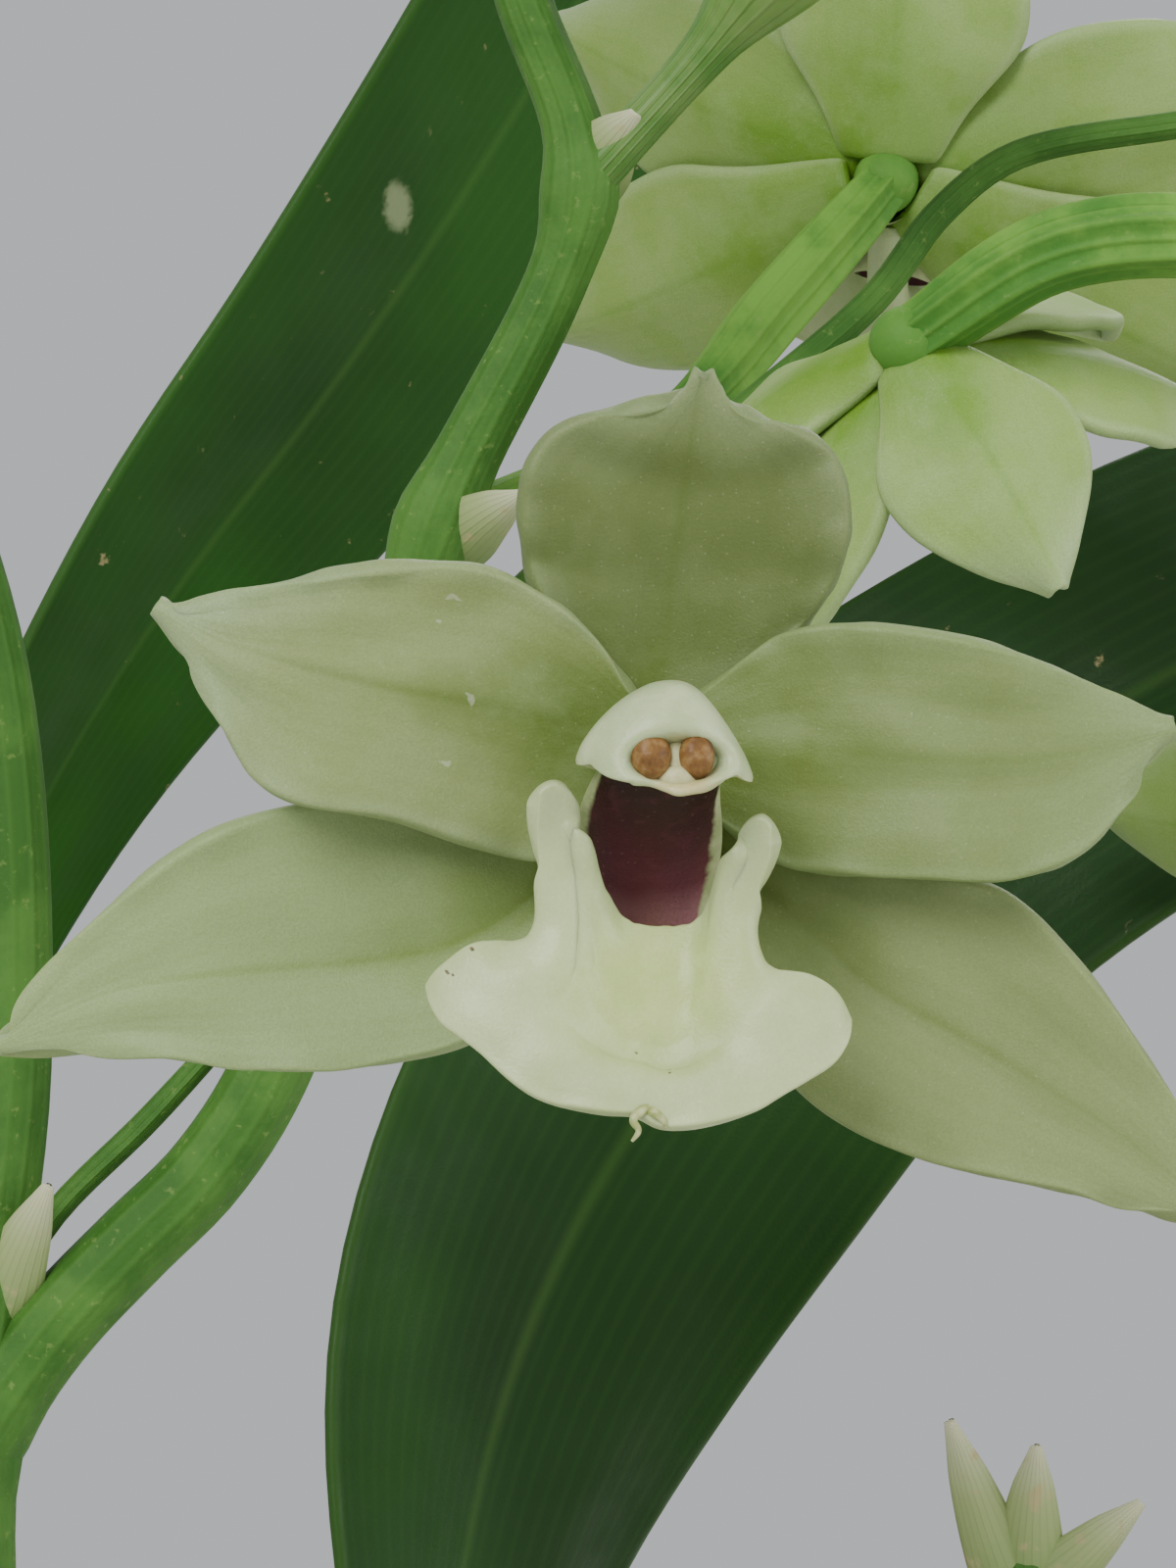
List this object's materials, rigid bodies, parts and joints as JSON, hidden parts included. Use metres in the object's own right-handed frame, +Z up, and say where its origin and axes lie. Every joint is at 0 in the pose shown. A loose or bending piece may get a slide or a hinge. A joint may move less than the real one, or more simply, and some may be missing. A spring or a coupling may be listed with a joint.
{
  "type": "potted paradisanthus orchid",
  "caption": "Orchid in a plain round pot: ovoid bulbs, long pleated arching leaves and a branched zigzag flower stem with pale green flowers, cream lips and dark columns.",
  "frame": {"origin": "centre of the pot's underside, on its flat foot", "axes": "+Z up from the pot's foot to the flowers; the near flower faces -Y; +X to the right as seen from the front"},
  "size_m": [0.2965, 0.2411, 0.43],
  "materials": {
    "clay": "matte",
    "bark": "matte",
    "bulb": "satin",
    "sheath": "matte",
    "leaf": "satin",
    "stem": "satin",
    "tepal": "satin",
    "lip": "satin",
    "column": "satin",
    "cap": "satin",
    "pollinia": "satin"
  },
  "bodies": {
    "root": {"pot": "clay", "bark_mix": "bark", "bulb_1": "bulb", "bulb_2": "bulb", "bulb_3": "bulb", "sheath_1": "sheath", "sheath_2": "sheath", "sheath_3": "sheath", "leaf_upper_left": "leaf", "leaf_behind": "leaf", "leaf_left": "leaf", "leaf_back_left": "leaf", "leaf_front_left": "leaf", "leaf_back": "leaf", "leaf_right": "leaf", "leaf_front_right": "leaf", "flower_stem": "stem", "near_flower_tepals": "tepal", "near_flower_lip": "lip", "near_flower_column": "column", "near_flower_cap": "cap", "near_flower_pollinarium": "pollinia", "flower_behind_tepals": "tepal", "flower_behind_column": "column", "flower_behind_lip": "lip", "flower_hanging_tepals": "tepal", "flower_hanging_column": "column", "flower_hanging_lip": "lip", "flower_right_tepals": "tepal", "flower_right_column": "column", "flower_right_lip": "lip", "flower_left_tepals": "tepal", "flower_left_column": "column", "flower_left_lip": "lip", "flower_top_tepals": "tepal", "flower_top_column": "column", "flower_top_lip": "lip"}
  },
  "joints": []
}
